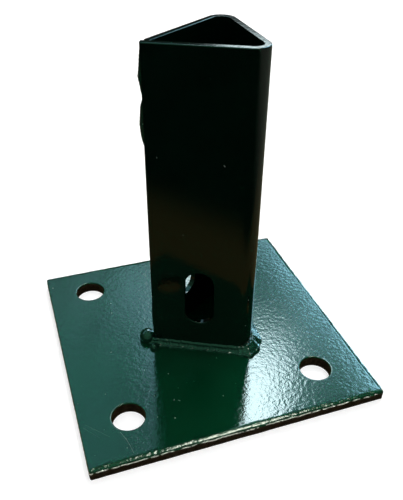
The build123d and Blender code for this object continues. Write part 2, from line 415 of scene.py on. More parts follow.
def slab(upper, lower, quads, border, nodes, walls):
    """Closed solid from a panel's two faces and the rows of points round its borders.

    The walls are rows over the border's nodes, from the upper face to the lower one.
    """
    count = len(upper)
    place = np.zeros(count, int)
    place[nodes] = np.arange(len(nodes))
    levels = [np.arange(count)]
    levels += [2 * count + row * len(nodes) + place for row in range(len(walls))]
    levels += [count + np.arange(count)]
    faces = [quads, quads[:, ::-1] + count]
    first, second = border.T
    for high, low in zip(levels[:-1], levels[1:]):
        faces.append(np.stack([high[first], low[first], low[second], high[second]], -1))
    return np.concatenate([upper, lower, *walls]), np.concatenate(faces)


def rounding(distance, radius):
    """Depth of a quarter round below a face at a distance from its edge."""
    left = np.clip(radius - distance, 0, None)
    return radius - np.sqrt(np.clip(radius**2 - left**2, 0, None))


def spread(start, stop, step):
    """Places from a start to a stop in even steps, as near to a step as they come."""
    return np.linspace(start, stop, max(2, round((stop - start) / step) + 1))


def round_rows(radius, count):
    """Distances from an edge that are even steps round a quarter round."""
    return radius * (1 - np.cos(np.linspace(0, math.pi / 2, count)))


def ragged(arc, lengths, sizes, seed):
    """Uneven line: sums of noise that is smooth over each length, closed on itself.

    Each part is a ring of random values joined by a smooth cubic step.
    """
    draw = np.random.default_rng(seed)
    total = arc[-1] + (arc[-1] - arc[-2])
    line = np.zeros(len(arc))
    for length, size in zip(lengths, sizes):
        values = draw.uniform(-1, 1, max(4, round(total / length)))
        at = arc / total * len(values)
        low = np.floor(at).astype(int)
        share = at - low
        share = share * share * (3 - 2 * share)
        here, there = values[low % len(values)], values[(low + 1) % len(values)]
        line += size * (here + (there - here) * share)
    return line


def plate_outline(loop, inner_x, inner_y):
    """Outline points and outward directions that belong to the points of the inner loop.

    A point is carried straight out to the outline, and within a corner's radius it turns
    round the corner's arc in step with its distance from the corner.
    """
    half = np.array([PLATE_HALF_X, PLATE_HALF_Y])
    sign = np.sign(loop)
    gap = half - np.abs(loop) * half / np.array([inner_x, inner_y])
    turn = math.pi / 4 * (1 + np.clip((gap[:, 0] - gap[:, 1]) / CORNER_RADIUS, -1, 1))
    way = np.stack([np.cos(turn), np.sin(turn)], -1)
    in_corner = (gap < CORNER_RADIUS).all(1)[:, None]
    corner = half - CORNER_RADIUS + CORNER_RADIUS * way
    straight = half - gap
    out = np.where(in_corner, way, (gap < gap[:, ::-1]) * 1.0)
    return sign * np.where(in_corner, corner, straight), sign * out


def plate_surface(sizes):
    """Sheared and punched plate: four pierced patches, a band round them and the walls.

    Towards its edge the upper face is drawn down over a width: at a distance t inside it
    by a soft bend sqrt(t2 + s2) - s and a cube of t. It ends in a quarter round. The wall
    then runs down a smooth land to an uneven lip, and below it the torn zone is rough. A
    point's share of each side is the square of its outward direction's part that way, and
    a running mean carries it round the corners. Returns points, faces and how bare each
    point is: 0 coated, 1 worn bright steel that is also painted highlight, -1 brown.
    """
    inner_x, inner_y = PLATE_HALF_X - EDGE_BAND, PLATE_HALF_Y - EDGE_BAND
    spans = [
        (spread(-inner, middle, sizes.plate_step), spread(middle, inner, sizes.plate_step))
        for middle, inner in zip(HOLE_MIDDLE, (inner_x, inner_y))
    ]
    rims = np.append(round_rows(PUNCH_ROUND, 5), PUNCH_ROUND + np.array([0.25, 1.0]) * MM)
    patches = []
    for side_x, across in zip((-1, 1), spans[0]):
        for side_y, up in zip((-1, 1), spans[1]):
            centre = np.array(HOLE_MIDDLE) + HOLE_HALF_PITCH * np.array([side_x, side_y])
            patches.append(pierced_patch(across, up, centre, 0, HOLE_RADIUS, rims, 4))
    loop = rectangle_loop(*(np.concatenate([low, high[1:]]) for low, high in spans))
    steps = np.linalg.norm(np.diff(loop, axis=0, append=loop[:1]), axis=1)
    arc = np.concatenate([[0.0], np.cumsum(steps)[:-1]])
    outline, out = plate_outline(loop, inner_x, inner_y)
    shares = np.clip(np.column_stack([out[:, 0], -out[:, 0], out[:, 1], -out[:, 1]]), 0, 1) ** 2
    shares = sum(np.roll(shares, shift, 0) for shift in range(-2, 3)) / 5
    side = {name: shares @ np.array(values) * MM for name, values in SHEARED.items()}
    lip = side["lip"] * (1 + ragged(arc, [1.7 * MM, 0.9 * MM], [0.3, 0.2], 3))
    inset = side["inset"] * (1 + ragged(arc, [9 * MM, 3 * MM], [0.15, 0.15], 4))
    outline = outline - out * inset[:, None]
    gaps = np.linspace(EDGE_BAND, 0.6 * MM, 14)[:-1]
    gaps = np.concatenate([gaps, round_rows(EDGE_ROUND, 6)[::-1]])
    ring = loop + (1 - gaps / EDGE_BAND)[:, None, None] * (outline - loop)
    quads = grid_quads(len(gaps), len(loop), True)[:, ::-1]
    patches.append((ring.reshape(-1, 2), np.full(ring[..., 0].size, FAR), quads))
    flat, to_hole, quads, first = join_patches(patches)
    # Places of the band's points along the loop and across the band
    count = sum(len(points) for points, _, _ in patches[:-1])
    in_band = first >= count
    row, column = np.divmod(np.where(in_band, first - count, 0), len(loop))
    to_edge = np.where(in_band, gaps[row], EDGE_BAND)
    pull = side["draw"] * (1 + ragged(arc, [14 * MM, 5 * MM], [0.12, 0.08], 5))
    wide = side["wide"] * (1 + ragged(arc, [7 * MM, 3 * MM], [0.1, 0.08], 8))
    inside = np.clip(wide[column] - to_edge, 0, None)
    bend = (np.sqrt(inside**2 + DRAWN_SOFT**2) - DRAWN_SOFT) / wide[column]
    drawn = pull[column] * (0.6 * bend + 0.4 * (inside / wide[column]) ** 3)
    drawn += ragged(arc, [2.4 * MM, 1.3 * MM], [0.045 * MM, 0.035 * MM], 9)[column] * bend
    drawn += rounding(to_edge, side["round"][column])
    top = PLATE_TOP - drawn - rounding(to_hole, PUNCH_ROUND)
    flare = FLARE * np.clip(1 - to_edge / FLARE_WIDTH, 0, 1)
    under = flat - out[column] * flare[:, None]
    upper = np.column_stack([flat, top])
    lower = np.column_stack([under, np.zeros(len(flat))])
    border = panel_border(quads)
    nodes = np.unique(border)
    at_edge = in_band[nodes] & (row[nodes] == len(gaps) - 1)
    key = column[nodes]
    jag = ragged(arc, [4 * MM, 1.8 * MM, 0.9 * MM], [0.12 * MM, 0.14 * MM, 0.1 * MM], 6)
    start = top[nodes]
    line = start - (side["land"] + np.clip(jag, -0.15 * MM, None) + 0.1 * MM)[key]
    rough = np.random.default_rng(7).uniform(-1, 1, (4, len(nodes))) * 0.05 * MM
    shelf = lip[key]
    # Rows down the wall: how far out, how high and how bare; the bright bare rows at the lip are
    # wear and also painted highlight
    profile = [
        (0.2 * shelf, start + 0.5 * (line - start), 0.1),
        (0.6 * shelf, line, 1.0),
        (0.88 * shelf, line - 0.12 * MM, 1.0),
        (1.0 * shelf, line - 0.27 * MM, 1.0),
        (0.85 * shelf, line - 0.45 * MM, 0.8),
        (0.5 * shelf + rough[0], line - 0.62 * MM, -1.0),
        (0.4 * shelf + rough[1], 0.6 * line, -1.0),
        (0.6 * shelf + rough[2], 0.35 * line, -1.0),
        (0.5 * shelf + rough[3], 0.12 * line, -1.0),
    ]
    hole_levels = np.linspace(PLATE_TOP - PUNCH_ROUND, 0, len(profile) + 2)[1:-1]
    # Bright ring at the very edge: worn steel, and painted highlight of the edge's glint
    rubbed_and_highlight = (shares @ np.array(WORN_AND_HIGHLIGHT))[column] * in_band * (to_edge < RUBBED_HIGHLIGHT_WIDTH)
    walls, bare = [], [rubbed_and_highlight, np.full(len(flat), -1.0)]
    for (reach, level, worn_and_highlight), hole_level in zip(profile, hole_levels):
        step = out[key] * np.where(at_edge, reach, 0)[:, None]
        height = np.where(at_edge, level, hole_level)
        walls.append(np.column_stack([flat[nodes] + step, height]))
        bare.append(np.where(at_edge, worn_and_highlight, -1.0))
    points, faces = slab(upper, lower, quads, border, nodes, walls)
    limit = np.array([PLATE_HALF_X, PLATE_HALF_Y, PLATE_TOP])
    return np.clip(points, -limit, limit), faces, np.concatenate(bare)


def section_point(distance):
    """Outer point and outward normal of the folded section at a distance along its sheet.

    The sheet's line is runs and arcs one after the other, each starting where the last
    one stops: p + t (cos, sin) on a run, and p plus the chord of the turn on an arc.
    """
    apex = math.pi - 2 * BASE_ANGLE
    base_tangent = BEND_RADIUS / math.tan(BASE_ANGLE / 2)
    apex_tangent = BEND_RADIUS / math.tan(apex / 2)
    parts = [
        (FRONT_WIDTH - base_tangent - FRONT_CUT, 0.0),
        (BEND_RADIUS * (math.pi - BASE_ANGLE), 1 / BEND_RADIUS),
        (SIDE_LENGTH - base_tangent - apex_tangent, 0.0),
        (BEND_RADIUS * (math.pi - apex), 1 / BEND_RADIUS),
        (SIDE_LENGTH - apex_tangent - LEFT_CUT, 0.0),
    ]
    points = np.zeros((*np.shape(distance), 2))
    heading = np.zeros(np.shape(distance))
    at, start, turn = np.array([FRONT_CUT, 0.0]), 0.0, 0.0
    for length, curve in parts:
        along = np.clip(distance - start, 0, None)
        inside = (distance >= start)[..., None]
        after = turn + curve * along
        if curve:
            chord = np.stack([np.sin(after) - math.sin(turn), math.cos(turn) - np.cos(after)], -1)
            step = chord / curve
            swept = turn + curve * length
            end = np.array([math.sin(swept) - math.sin(turn), math.cos(turn) - math.cos(swept)])
            end = end / curve
        else:
            step = along[..., None] * np.array([math.cos(turn), math.sin(turn)])
            end = length * np.array([math.cos(turn), math.sin(turn)])
        points = np.where(inside, at + step, points)
        heading = np.where(inside[..., 0], after, heading)
        at, start, turn = at + end, start + length, turn + curve * length
    normal = np.stack([np.sin(heading), -np.cos(heading)], -1)
    return points, normal, [length for length, _ in parts]


def sleeve_surface(sizes):
    """Folded sleeve: a flat sheet with two slots, laid along its section's line.

    The sheet is a panel of distance along the section and height. Each point goes to the
    section's line there, less the outward normal times its depth in the sheet, which is
    a quarter round near the rim, the slots and the cut ends.
    """
    height = SLEEVE_TOP - PLATE_TOP
    lengths = section_point(np.zeros(1))[2]
    total = sum(lengths)
    slot_places = (FRONT_SLOT - FRONT_CUT, total + LEFT_CUT - LEFT_SLOT)
    fine, coarse = sizes.sheet_step, 2 * MM
    ends = round_rows(0.25 * MM, 4)
    slots = [spread(place - SLOT_ASIDE, place + SLOT_ASIDE, fine) for place in slot_places]
    # Limits of the sheet between the slots, whose bends have fine steps
    limits = [slots[0][-1], *np.cumsum(lengths[:4]), slots[1][0]]
    between = [
        spread(start, stop, fine if index % 2 else coarse)[:-1]
        for index, (start, stop) in enumerate(zip(limits[:-1], limits[1:]))
    ]
    strips = [
        np.concatenate([ends, spread(1 * MM, slots[0][0], coarse)]),
        slots[0],
        np.concatenate([*between, limits[-1:]]),
        slots[1],
        np.concatenate([spread(slots[1][-1], total - 1 * MM, coarse), total - ends[::-1]]),
    ]
    low_side, high_side = SLOT_HEIGHT - SLOT_ABOVE, SLOT_HEIGHT + SLOT_ABOVE
    rows_low = spread(0, low_side, coarse)
    rows_slot = spread(low_side, high_side, fine)
    rim_rows = height - round_rows(sizes.rim_round, 7)[::-1]
    rows_high = np.concatenate([spread(high_side, height - 2 * MM, 3 * MM), rim_rows])
    rims = np.append(round_rows(SLOT_ROUND, 5), SLOT_ROUND + np.array([0.2, 0.7]) * MM)
    patches = []
    for index, across in enumerate(strips):
        if index in (1, 3):
            centre = np.array([slot_places[index // 2], SLOT_HEIGHT])
            slot = (centre, SLOT_HALF, SLOT_RADIUS, rims, 6)
            patches.append(grid_patch(across, rows_low))
            patches.append(pierced_patch(across, rows_slot, *slot))
            patches.append(grid_patch(across, rows_high))
        else:
            rows = np.concatenate([rows_low[:-1], rows_slot[:-1], rows_high])
            patches.append(grid_patch(across, rows))
    flat, to_slot, quads, _ = join_patches(patches)
    place, level = flat.T
    to_rim, to_end = height - level, np.minimum(place, total - place)
    depths = []
    rounds = ((sizes.rim_round, SLOT_ROUND, 0.2 * MM), (0.15 * MM, 0.12 * MM, 0.1 * MM))
    for rim_round, slot_round, end_round in rounds:
        at_rim = rounding(to_rim, rim_round)
        depth = np.maximum(at_rim, rounding(to_slot, slot_round))
        depths.append(np.maximum(depth, rounding(to_end, end_round)))
    points, normal, _ = section_point(place)
    waver = 0.02 * MM * np.sin(place / (9 * MM) + 1.1 * np.sin(level / (21 * MM)) + 0.6)
    outer = points - normal * (depths[0] - waver + 0.02 * MM)[:, None]
    inner = points - normal * (SHEET - depths[1])[:, None]
    outer = to_plate(np.column_stack([outer, level]))
    inner = to_plate(np.column_stack([inner, level]))
    border = panel_border(quads)
    nodes = np.unique(border)
    across = inner[nodes] - outer[nodes]
    walls = [outer[nodes] + share * across for share in (0.08, 0.5, 0.92)]
    return slab(outer, inner, quads, border, nodes, walls)


def ring_faces(rows, columns, ends_open):
    """Faces of a grid of rings, and the extra end points that close an open one."""
    if not ends_open:
        here = np.arange(rows * columns).reshape(rows, columns)
        after, beside = np.roll(here, -1, 0), np.roll(here, -1, 1)
        corners = [here, beside, np.roll(after, -1, 1), after]
        return np.stack(corners, -1).reshape(-1, 4).tolist()
    faces = grid_quads(rows, columns, True).tolist()
    first = np.arange(columns)
    last = first + (rows - 1) * columns
    foot, top = rows * columns, rows * columns + 1
    faces += [[foot, b, a] for a, b in zip(first.tolist(), np.roll(first, -1).tolist())]
    faces += [[top, a, b] for a, b in zip(last.tolist(), np.roll(last, -1).tolist())]
    return faces


def add_rings(name, grid, ends_open, material, node, slot):
    """A piece from a grid of rings, which close on themselves or shrink to two end points.

    The first and the last ring of one with end points have no width, and become them.
    """
    ends = grid[[0, -1]].mean(1) if ends_open else grid[:0, 0]
    grid = grid[1:-1] if ends_open else grid
    points = np.concatenate([grid.reshape(-1, 3), ends])
    return add_piece(name, points, ring_faces(*grid.shape[:2], ends_open), material, node, slot)


def add_piece(name, points, faces, material, node, slot, bare=None):
    """A closed mesh that rides on the body and stands for a node.

    Its faces are turned outwards by the sign of the volume that they enclose.
    """
    faces = faces if isinstance(faces, list) else faces.tolist()
    a, b, c, d = (points[[f[i] for f in faces]] for i in (0, 1, 2, -1))
    volume = (np.cross(a, b) * c).sum() + (np.cross(a, c) * d).sum()
    if volume < 0:
        faces = [f[::-1] for f in faces]
    mesh = bpy.data.meshes.new(name)
    mesh.from_pydata(points.tolist(), [], faces)
    mesh.polygons.foreach_set("use_smooth", np.ones(len(faces), bool))
    mesh.set_sharp_from_angle(angle=math.radians(50))
    if bare is not None:
        mesh.attributes.new("bare", "FLOAT", "POINT").data.foreach_set("value", bare)
    mesh.materials.append(material)
    mesh.update()
    piece = bpy.data.objects.new(name, mesh)
    bpy.context.scene.collection.objects.link(piece)
    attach(piece, BODY)
    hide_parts(node)
    return piece


# Materials


class Wire:
    """A node's output, with arithmetic that adds Math nodes to its material."""

    def __init__(self, finish, socket):
        self.finish, self.socket = finish, socket

    def other(self, name):
        """Another output of the same node."""
        return Wire(self.finish, self.socket.node.outputs[name])

    def maths(self, operation, *values):
        """A Math node of an operation on values and wires."""
        settings = {"operation": operation}
        return self.finish.add("ShaderNodeMath", settings, dict(enumerate(values)))

    def __add__(self, value):
        return self.maths("ADD", self, value)

    def __radd__(self, value):
        return self.maths("ADD", value, self)

    def __sub__(self, value):
        return self.maths("SUBTRACT", self, value)

    def __rsub__(self, value):
        return self.maths("SUBTRACT", value, self)

    def __mul__(self, value):
        return self.maths("MULTIPLY", self, value)

    def __rmul__(self, value):
        return self.maths("MULTIPLY", value, self)

    def __truediv__(self, value):
        return self.maths("DIVIDE", self, value)

    def __pow__(self, value):
        return self.maths("POWER", self, value)

    def larger(self, value):
        return self.maths("MAXIMUM", self, value)

    def smaller(self, value):
        return self.maths("MINIMUM", self, value)

    def step(self, start, end):
        """0 before the start, 1 past the end, and a smooth rise or fall between them."""
        settings = {"interpolation_type": "SMOOTHSTEP"}
        flip = end < start
        low, high = (end, start) if flip else (start, end)
        sockets = {0: self, 1: low, 2: high, 3: 1.0 * flip, 4: 1.0 * (not flip)}
        return self.finish.add("ShaderNodeMapRange", settings, sockets)


class Finish:
    """A material or world's node tree, filled by one method for every kind of node."""

    def __init__(self, name, owner=None):
        self.owner = owner or bpy.data.materials.new(name)
        self.owner.use_nodes = True
        self.tree = self.owner.node_tree
        self.tree.nodes.clear()

    def add(self, kind, settings=None, sockets=None, output=0):
        """Adds a node, sets its settings, then values and links its sockets."""
        node = self.tree.nodes.new(kind)
        for key, value in (settings or {}).items():
            setattr(node, key, value)
        for key, value in (sockets or {}).items():
            if isinstance(value, Wire):
                self.tree.links.new(value.socket, node.inputs[key])
            elif value is not None:
                node.inputs[key].default_value = value
        return Wire(self, node.outputs[output]) if node.outputs else None

    def mix(self, share, first, second):
        """Colour between two colours."""
        first, second = (v if isinstance(v, Wire) else (*v, 1.0) for v in (first, second))
        return self.add("ShaderNodeMix", {"data_type": "RGBA"}, {0: share, 6: first, 7: second}, 2)

    def noise(self, place, scale, detail=2.0, rough=0.5, stretch=None):
        """Noise of a wavelength of one over the scale, in metres."""
        if stretch:
            place = self.add("ShaderNodeMapping", {}, {"Vector": place, "Scale": stretch})
        sockets = {"Vector": place, "Scale": scale, "Detail": detail, "Roughness": rough}
        return self.add("ShaderNodeTexNoise", {}, sockets)

    def bump(self, height, distance, normal=None):
        """Normal tilted by a height of a distance in metres."""
        sockets = {"Height": height, "Distance": distance, "Strength": 1.0, "Normal": normal}
        return self.add("ShaderNodeBump", {}, sockets)

    def surface(self, shader):
        """Ends the tree with a surface shader."""
        kind = "World" if isinstance(self.owner, bpy.types.World) else "Material"
        self.add(f"ShaderNodeOutput{kind}", {}, {"Surface": shader})
        return self.owner


def coat_base(finish, coat, peel):
    """Powder coat shared by every piece: its place and its normal, with the orange peel."""
    place = finish.add("ShaderNodeTexCoord", {}, {}, "Object")
    cells = finish.noise(place, 1 / coat.peel_width, 1.0, 0.4)
    fine = finish.noise(place, 2.7 / coat.peel_width, 1.0, 0.5)
    return place, finish.bump(cells * 0.75 + fine * 0.25, peel)


def slow_change(finish, place):
    """Variation from 0 to 1 that takes a centimetre or two."""
    return finish.noise(place, 60.0, 3.0, 0.55)


def coat_shader(finish, colour, roughness, normal, coat, bare=0.0):
    """The coat's shader, with its constant gloss set on the sockets themselves."""
    sockets = {
        "Base Color": colour,
        "Metallic": bare,
        "Roughness": roughness,
        "Normal": normal,
        "IOR": coat.gloss_index,
    }
    return finish.add("ShaderNodeBsdfPrincipled", {}, sockets)


def bare_shader(finish, colour, normal):
    """Dull torn steel and scale, with hardly any gloss."""
    sockets = {
        "Base Color": colour,
        "Roughness": 0.7,
        "Normal": normal,
        "Specular IOR Level": 0.12,
    }
    return finish.add("ShaderNodeBsdfPrincipled", {}, sockets)


def dust(finish, place, scale, limit):
    """Sparse specks: cell centres of a Voronoi pattern where a fine noise is high."""
    cell = finish.add("ShaderNodeTexVoronoi", {}, {"Vector": place, "Scale": scale})
    return cell.step(0.1, 0.05) * finish.noise(place, 900.0, 0.0).step(limit, limit + 0.08)


def scratch(x, y, start, end, half):
    """1 within half a width of the straight line between two points of the plate."""
    run = (end[0] - start[0], end[1] - start[1])
    along = ((x - start[0]) * run[0] + (y - start[1]) * run[1]) / (run[0] ** 2 + run[1] ** 2)
    along = along.larger(0.0).smaller(1.0)
    off_x, off_y = x - start[0] - along * run[0], y - start[1] - along * run[1]
    return ((off_x * off_x + off_y * off_y) ** 0.5).step(half * 1.5, half * 0.5)


def plate_material(coat):
    """Coated plate: orange peel, specks, scratches, brown walls and a worn sheared edge, whose
    near-white bare steel is also painted highlight.
    """
    finish = Finish("plate coat")
    place, normal = coat_base(finish, coat, coat.peel_depth)
    x = finish.add("ShaderNodeSeparateXYZ", {}, {0: place})
    y, z = x.other("Y"), x.other("Z")
    slow = slow_change(finish, place)
    green = finish.mix(slow.step(0.35, 0.7), coat.plate_green, coat.plate_green_light)
    bare = finish.add("ShaderNodeAttribute", {"attribute_name": "bare"}, {}, "Fac")
    brown = (bare * -1.0).step(0.25, 0.6)
    broken = finish.noise(place, 330.0, 2.0, 0.6).step(0.42, 0.54)
    # Bright bare steel on the lip and the edge's ring: wear, and painted highlight of the edge's
    # glints
    worn_and_highlight = bare.step(0.3, 0.75) * broken
    marks = dust(finish, place, 260.0, 0.6) * 0.4
    for start, end, half, strength in SCRATCHES:
        line = scratch(x, y, np.array(start) * MM, np.array(end) * MM, half * MM)
        marks = marks.larger(line * strength)
    on_top = z.step(PLATE_TOP - 0.4 * MM, PLATE_TOP - 0.1 * MM)
    colour = finish.mix(marks * on_top, green, coat.speck)
    colour = finish.mix(worn_and_highlight, colour, coat.worn_steel_and_highlight)
    drawn = y.step(2.5 * MM - PLATE_HALF_Y, 1.6 * MM - PLATE_HALF_Y)
    streaks = finish.noise(place, 1100.0, 2.0, 0.6, (0.55, 1.0, 1.0))
    normal = finish.bump(streaks * drawn, 0.09 * MM, normal)
    scale = finish.noise(place, 700.0, 3.0, 0.6)
    rust = finish.mix(scale.step(0.35, 0.65), coat.bare_brown, coat.bare_brown_light)
    torn = bare_shader(finish, rust, finish.bump(scale, 0.2 * MM))
    roughness = coat.gloss_blur + slow * 0.05 + worn_and_highlight * 0.2
    whole = coat_shader(finish, colour, roughness, normal, coat, worn_and_highlight * 0.25)
    return finish.surface(finish.add("ShaderNodeMixShader", {}, {0: brown, 1: whole, 2: torn}))


def sleeve_material(coat):
    """Coated sleeve: smoother sheet with a few specks, its green darkened as painted shade."""
    finish = Finish("sleeve coat")
    place, normal = coat_base(finish, coat, coat.peel_depth * 0.35)
    slow = slow_change(finish, place)
    # The sleeve's greens are the plate's coat darkened: painted shade
    green = finish.mix(slow.step(0.3, 0.7), coat.sleeve_green_painted_shade, coat.sleeve_green_light_painted_shade)
    colour = finish.mix(dust(finish, place, 120.0, 0.68) * 0.4, green, coat.speck)
    return finish.surface(coat_shader(finish, colour, coat.gloss_blur + slow * 0.05, normal, coat))


def weld_material(coat):
    """Coated weld metal: glossy, with pits and paler specks where the coat is thin."""
    finish = Finish("weld coat")
    place, normal = coat_base(finish, coat, coat.peel_depth)
    lumps = finish.noise(place, 500.0, 2.0, 0.5)
    normal = finish.bump(lumps, 0.4 * MM, normal)
    thin = dust(finish, place, 800.0, 0.57)
    colour = finish.mix(thin, coat.weld_green, coat.speck)
    return finish.surface(coat_shader(finish, colour, coat.gloss_blur + lumps * 0.1, normal, coat))


# Studio


def edge_to_edge(value, low, high, soft):
    """1 between two values and 0 outside them, with soft edges (logistic steps)."""
    return 1 / (1 + np.exp(-(value - low) / soft)) / (1 + np.exp((value - high) / soft))


def pane(azimuth, elevation, limits):
    """Rectangle of directions with soft edges, from its limits in azimuth and elevation."""
    return edge_to_edge(azimuth, *limits[0]) * edge_to_edge(elevation, *limits[1])


def hill(value, middle, width):
    """Bell curve round a middle: exp(-((value - middle) / width)^2)."""
    return np.exp(-(((value - middle) / width) ** 2))


def slats(across, spacing, depth):
    """Stripes: one plus a depth times a sine that repeats at a spacing."""
    return 1 + depth * np.sin(2 * math.pi * across / spacing)


def way_towards(azimuth, elevation):
    """Unit vectors by azimuth from +Y towards +X and by elevation, in degrees."""
    a, e = np.radians(azimuth), np.radians(elevation)
    return np.stack([np.sin(a) * np.cos(e), np.cos(a) * np.cos(e), np.sin(e)], -1)


def room_glow(azimuth, elevation):
    """Light of the room by direction, in degrees from straight behind the object.

    A tall white window to the right behind the object with a halo and a low sill, a
    slatted wall round it that is bright beyond a slanting line to its right, a bright band
    low on the right, a slatted green-blue wall to the left with a pool of light on it, a
    small white spill and a narrow glow beside the sleeve, a small lamp overhead, a wide
    faint green glow on the camera's side and darkness elsewhere.
    """
    window, sill, wall, low_band, left = (
        pane(azimuth, elevation, limits)
        for limits in (WINDOW, SILL, RIGHT_WALL, LOW_BAND, LEFT_WALL)
    )
    under = np.clip(WINDOW[1][0] - elevation, 0, None)
    away = np.hypot(np.clip(abs(azimuth - 23.5) - 8, 0, None), under)
    halo = np.exp(-away / 3.5) * edge_to_edge(elevation, 20, 62, 3) * (azimuth > 12)
    beyond = (azimuth - 28) * 0.75 + 33.7 - elevation
    broad = slats(azimuth * 0.8 + elevation * 0.6, 5.5, 0.55) / (1 + np.exp(-beyond / 0.9))
    narrow = slats(azimuth - 0.7 * elevation, 3.4, 0.75)
    backdrop = wall * (0.65 * narrow + 10 * broad) + 9 * low_band
    backdrop += 1.4 * hill(azimuth, 12.3, 2) * edge_to_edge(elevation, 36, 46.5, 0.8)
    left *= slats(azimuth + 0.5 * elevation, 5.4, 0.75)
    left *= 1 - 0.6 * hill(azimuth, 14.5, 4) * edge_to_edge(elevation, 46, 90, 1.5)
    pool = hill(azimuth, 11.5, 5) * hill(elevation, 38, 4)
    spill = hill(azimuth, 17.6, 2) * hill(elevation, 38.2, 2.5)
    way = way_towards(azimuth, elevation)
    apart = np.degrees(np.arccos(np.clip(way @ (LAMP / np.linalg.norm(LAMP)), -1, 1)))
    overhead = 30 / (1 + np.exp((apart - 6) / 0.8))
    front = np.clip(way @ CAMERA_SIDE, 0, 1) ** 2
    low = (1 / (1 + np.exp((elevation - 41) / 1.5)))[..., None]
    lights = (
        (window * 20 + sill * 5 + spill * 20, WHITE),
        (backdrop + 2.6 * halo, SKY),
        (left * (1.07 + pool), TEAL + low * TEAL_LOW),
        (overhead, WARM),
        (front * 0.75, GREEN),
    )
    return 0.02 + sum(light[..., None] * colour for light, colour in lights)


def show_only(thing, **rays):
    """Lets a stage piece be seen only by the named kinds of ray."""
    for kind in ("camera", "diffuse", "glossy", "transmission", "volume_scatter", "shadow"):
        setattr(thing, f"visible_{kind}", rays.get(kind, False))


def stage_mesh(name, points, faces, material):
    """A mesh of the stage, which isn't part of the object."""
    mesh = bpy.data.meshes.new(name)
    mesh.from_pydata([list(p) for p in points], [], faces)
    mesh.materials.append(material)
    thing = bpy.data.objects.new(name, mesh)
    bpy.context.scene.collection.objects.link(thing)
    return thing


def stage_square(name, reach, level, material):
    """A level square of the stage, by half its width and its height."""
    corners = [(-reach, -reach, level), (reach, -reach, level)]
    corners += [(reach, reach, level), (-reach, reach, level)]
    return stage_mesh(name, corners, [[0, 1, 2, 3]], material)


def background_ray(finish):
    """1 for rays that show the background: from the camera, mirrored or let through."""
    path = finish.add("ShaderNodeLightPath", {}, {}, "Is Camera Ray")
    return path.larger(path.other("Is Glossy Ray")).larger(path.other("Is Transmission Ray"))


def floor_material(studio):
    """Pale floor that is lifted to white for background rays and keeps the shadow."""
    finish = Finish("floor")
    albedo = (studio.floor_shade,) * 3
    plain = finish.add("ShaderNodeBsdfDiffuse", {}, {"Color": (*albedo, 1.0)})
    lift = background_ray(finish) * studio.floor_lift
    lift = finish.add("ShaderNodeEmission", {}, {"Strength": lift})
    return finish.surface(finish.add("ShaderNodeAddShader", {}, {0: plain, 1: lift}))


def world_light(studio):
    """White for background rays, and a soft even light otherwise."""
    world = bpy.data.worlds.new("studio")
    bpy.context.scene.world = world
    finish = Finish("studio", world)
    strength = studio.soft_light + background_ray(finish) * (1 - studio.soft_light)
    colour = (*studio.soft_colour, 1.0)
    finish.surface(finish.add("ShaderNodeBackground", {}, {"Color": colour, "Strength": strength}))


def room_part(name, azimuths, elevations, distance, neutral):
    """Part of a far sphere with the room's glow as a colour on its points.

    A neutral part has the glow's mean in every channel and is sampled as a lamp.
    """
    azimuth, elevation = np.meshgrid(azimuths, elevations)
    way = way_towards(azimuth, elevation)
    finish = Finish(name)
    glow = finish.add("ShaderNodeAttribute", {"attribute_name": "glow"})
    material = finish.surface(finish.add("ShaderNodeEmission", {}, {"Color": glow}))
    material.cycles.emission_sampling = "AUTO" if neutral else "NONE"
    faces = grid_quads(*azimuth.shape, False).tolist()
    part = stage_mesh(name, (way * distance).reshape(-1, 3), faces, material)
    colour = np.ones((azimuth.size, 4), np.float32)
    colour[:, :3] = room_glow(azimuth, elevation).reshape(-1, 3)
    if neutral:
        colour[:, :3] = colour[:, :3].mean(1, keepdims=True)
    attribute = part.data.color_attributes.new("glow", "FLOAT_COLOR", "POINT")
    attribute.data.foreach_set("color", colour.ravel())
    return part


def room(studio):
    """The room as reflections show it, and its upper part in neutral light for matt faces."""
    mirrored = room_part(
        "mirrored_room", np.arange(-180, 180.5), np.arange(-1, 90), studio.room_distance, False
    )
    show_only(mirrored, glossy=True)
    lit = room_part(
        "light_card", np.arange(-180, 181, 2), np.arange(15, 90, 2), studio.card_distance, True
    )
    show_only(lit, diffuse=True)


def dark_cloth(studio):
    """Dark cloth on the floor, paler to the right, that shows in reflections alone."""
    finish = Finish("cloth")
    place = finish.add("ShaderNodeTexCoord", {}, {}, "Object")
    x = finish.add("ShaderNodeSeparateXYZ", {}, {0: place})
    near = x.other("Y").step(*CLOTH_BROWN_Y)
    colour = finish.mix(near, studio.cloth_colour, studio.cloth_colour_near)
    colour = finish.mix(x.step(*CLOTH_PALER_X), colour, studio.cloth_colour_right)
    material = finish.surface(finish.add("ShaderNodeEmission", {}, {"Color": colour}))
    show_only(stage_square("dark_cloth", *CLOTH_SQUARE, material), glossy=True)


def photo_camera(studio):
    """Camera at the photograph's place, height and angle, as a fit to the plate gave it."""
    forward = (Vector(studio.camera_aim) - Vector(studio.camera_place)).normalized()
    level = forward.cross(Vector((0, 0, 1))).normalized()
    down = forward.cross(level)
    cosine, sine = math.cos(studio.camera_roll), math.sin(studio.camera_roll)
    right, up = cosine * level + sine * down, sine * level - cosine * down
    data = bpy.data.cameras.new("camera")
    data.sensor_width, data.lens = 36.0, studio.camera_lens
    data.clip_start, data.clip_end = 0.01, 50.0
    camera = bpy.data.objects.new("camera", data)
    turn = Matrix((right, up, -forward)).transposed().to_4x4()
    camera.matrix_world = Matrix.Translation(studio.camera_place) @ turn
    bpy.context.scene.collection.objects.link(camera)
    bpy.context.scene.camera = camera


# Add-on


def colour_property(name, description, default):
    return bpy.props.FloatVectorProperty(
        name=name, description=description, subtype="COLOR", size=3, min=0, max=1, default=default
    )


